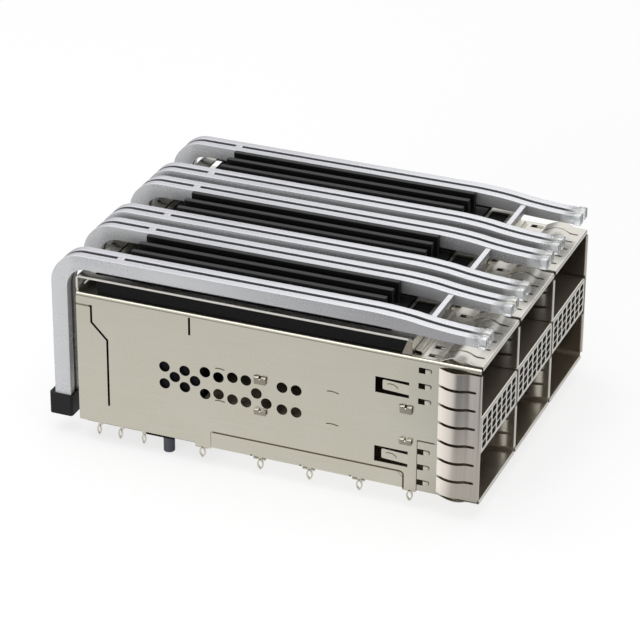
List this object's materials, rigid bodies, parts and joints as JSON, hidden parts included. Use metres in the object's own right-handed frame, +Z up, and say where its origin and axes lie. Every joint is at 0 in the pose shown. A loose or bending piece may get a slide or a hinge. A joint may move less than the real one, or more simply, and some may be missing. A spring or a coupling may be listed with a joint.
{
  "type": "stacked transceiver cage",
  "caption": "Stacked press-fit cage that receives pluggable network modules, with black riding heat sinks, clear light pipes and spring fingers round the front.",
  "frame": {"origin": "middle of the cage's length and width, in the plane where it sits on the board", "axes": "+X across the columns, +Y from the ports to the back, +Z up from the board"},
  "size_m": [0.062, 0.0834, 0.037],
  "materials": {
    "cage_sheet": "satin nickel plate",
    "spring_strip": "bright nickel plate",
    "clip_sheet": "bright spring steel",
    "heat_sink": "black anodised",
    "light_pipe": "clear moulded",
    "foot": "moulded",
    "housing": "moulded"
  },
  "bodies": {
    "cage": {"cage_shell": "cage_sheet", "bottom_pan": "cage_sheet", "rear_cover": "cage_sheet", "divider_1": "cage_sheet", "divider_2": "cage_sheet", "separator_1": "cage_sheet", "separator_2": "cage_sheet", "separator_3": "cage_sheet", "emi_spring_left": "spring_strip", "emi_spring_right": "spring_strip", "emi_spring_top_1": "spring_strip", "emi_spring_top_2": "spring_strip", "emi_spring_top_3": "spring_strip", "emi_spring_bottom_1": "spring_strip", "emi_spring_bottom_2": "spring_strip", "emi_spring_bottom_3": "spring_strip", "emi_spring_divider_1_upper": "spring_strip", "emi_spring_divider_1_lower": "spring_strip", "emi_spring_divider_2_upper": "spring_strip", "emi_spring_divider_2_lower": "spring_strip", "heat_sink_clip_1": "clip_sheet", "light_pipe_1": "light_pipe", "connector_housing_1": "housing", "heat_sink_clip_2": "clip_sheet", "light_pipe_2": "light_pipe", "connector_housing_2": "housing", "heat_sink_clip_3": "clip_sheet", "light_pipe_3": "light_pipe", "connector_housing_3": "housing", "light_pipe_foot_1": "foot", "light_pipe_foot_2": "foot", "light_pipe_foot_3": "foot", "light_pipe_foot_4": "foot", "light_pipe_foot_5": "foot", "light_pipe_foot_6": "foot"},
    "sink_1": {"heat_sink_1": "heat_sink"},
    "sink_2": {"heat_sink_2": "heat_sink"},
    "sink_3": {"heat_sink_3": "heat_sink"}
  },
  "joints": [
    {"name": "heat_sink_1_lift", "type": "slide", "parent": "cage", "child": "sink_1", "axis": [0, 0, 1], "range_m": [0, 0.0005], "stiffness_N_per_m": 3000, "springref_m": -0.002, "deforming": ["heat_sink_clip_1"]},
    {"name": "heat_sink_2_lift", "type": "slide", "parent": "cage", "child": "sink_2", "axis": [0, 0, 1], "range_m": [0, 0.0005], "stiffness_N_per_m": 3000, "springref_m": -0.002, "deforming": ["heat_sink_clip_2"]},
    {"name": "heat_sink_3_lift", "type": "slide", "parent": "cage", "child": "sink_3", "axis": [0, 0, 1], "range_m": [0, 0.0005], "stiffness_N_per_m": 3000, "springref_m": -0.002, "deforming": ["heat_sink_clip_3"]}
  ]
}
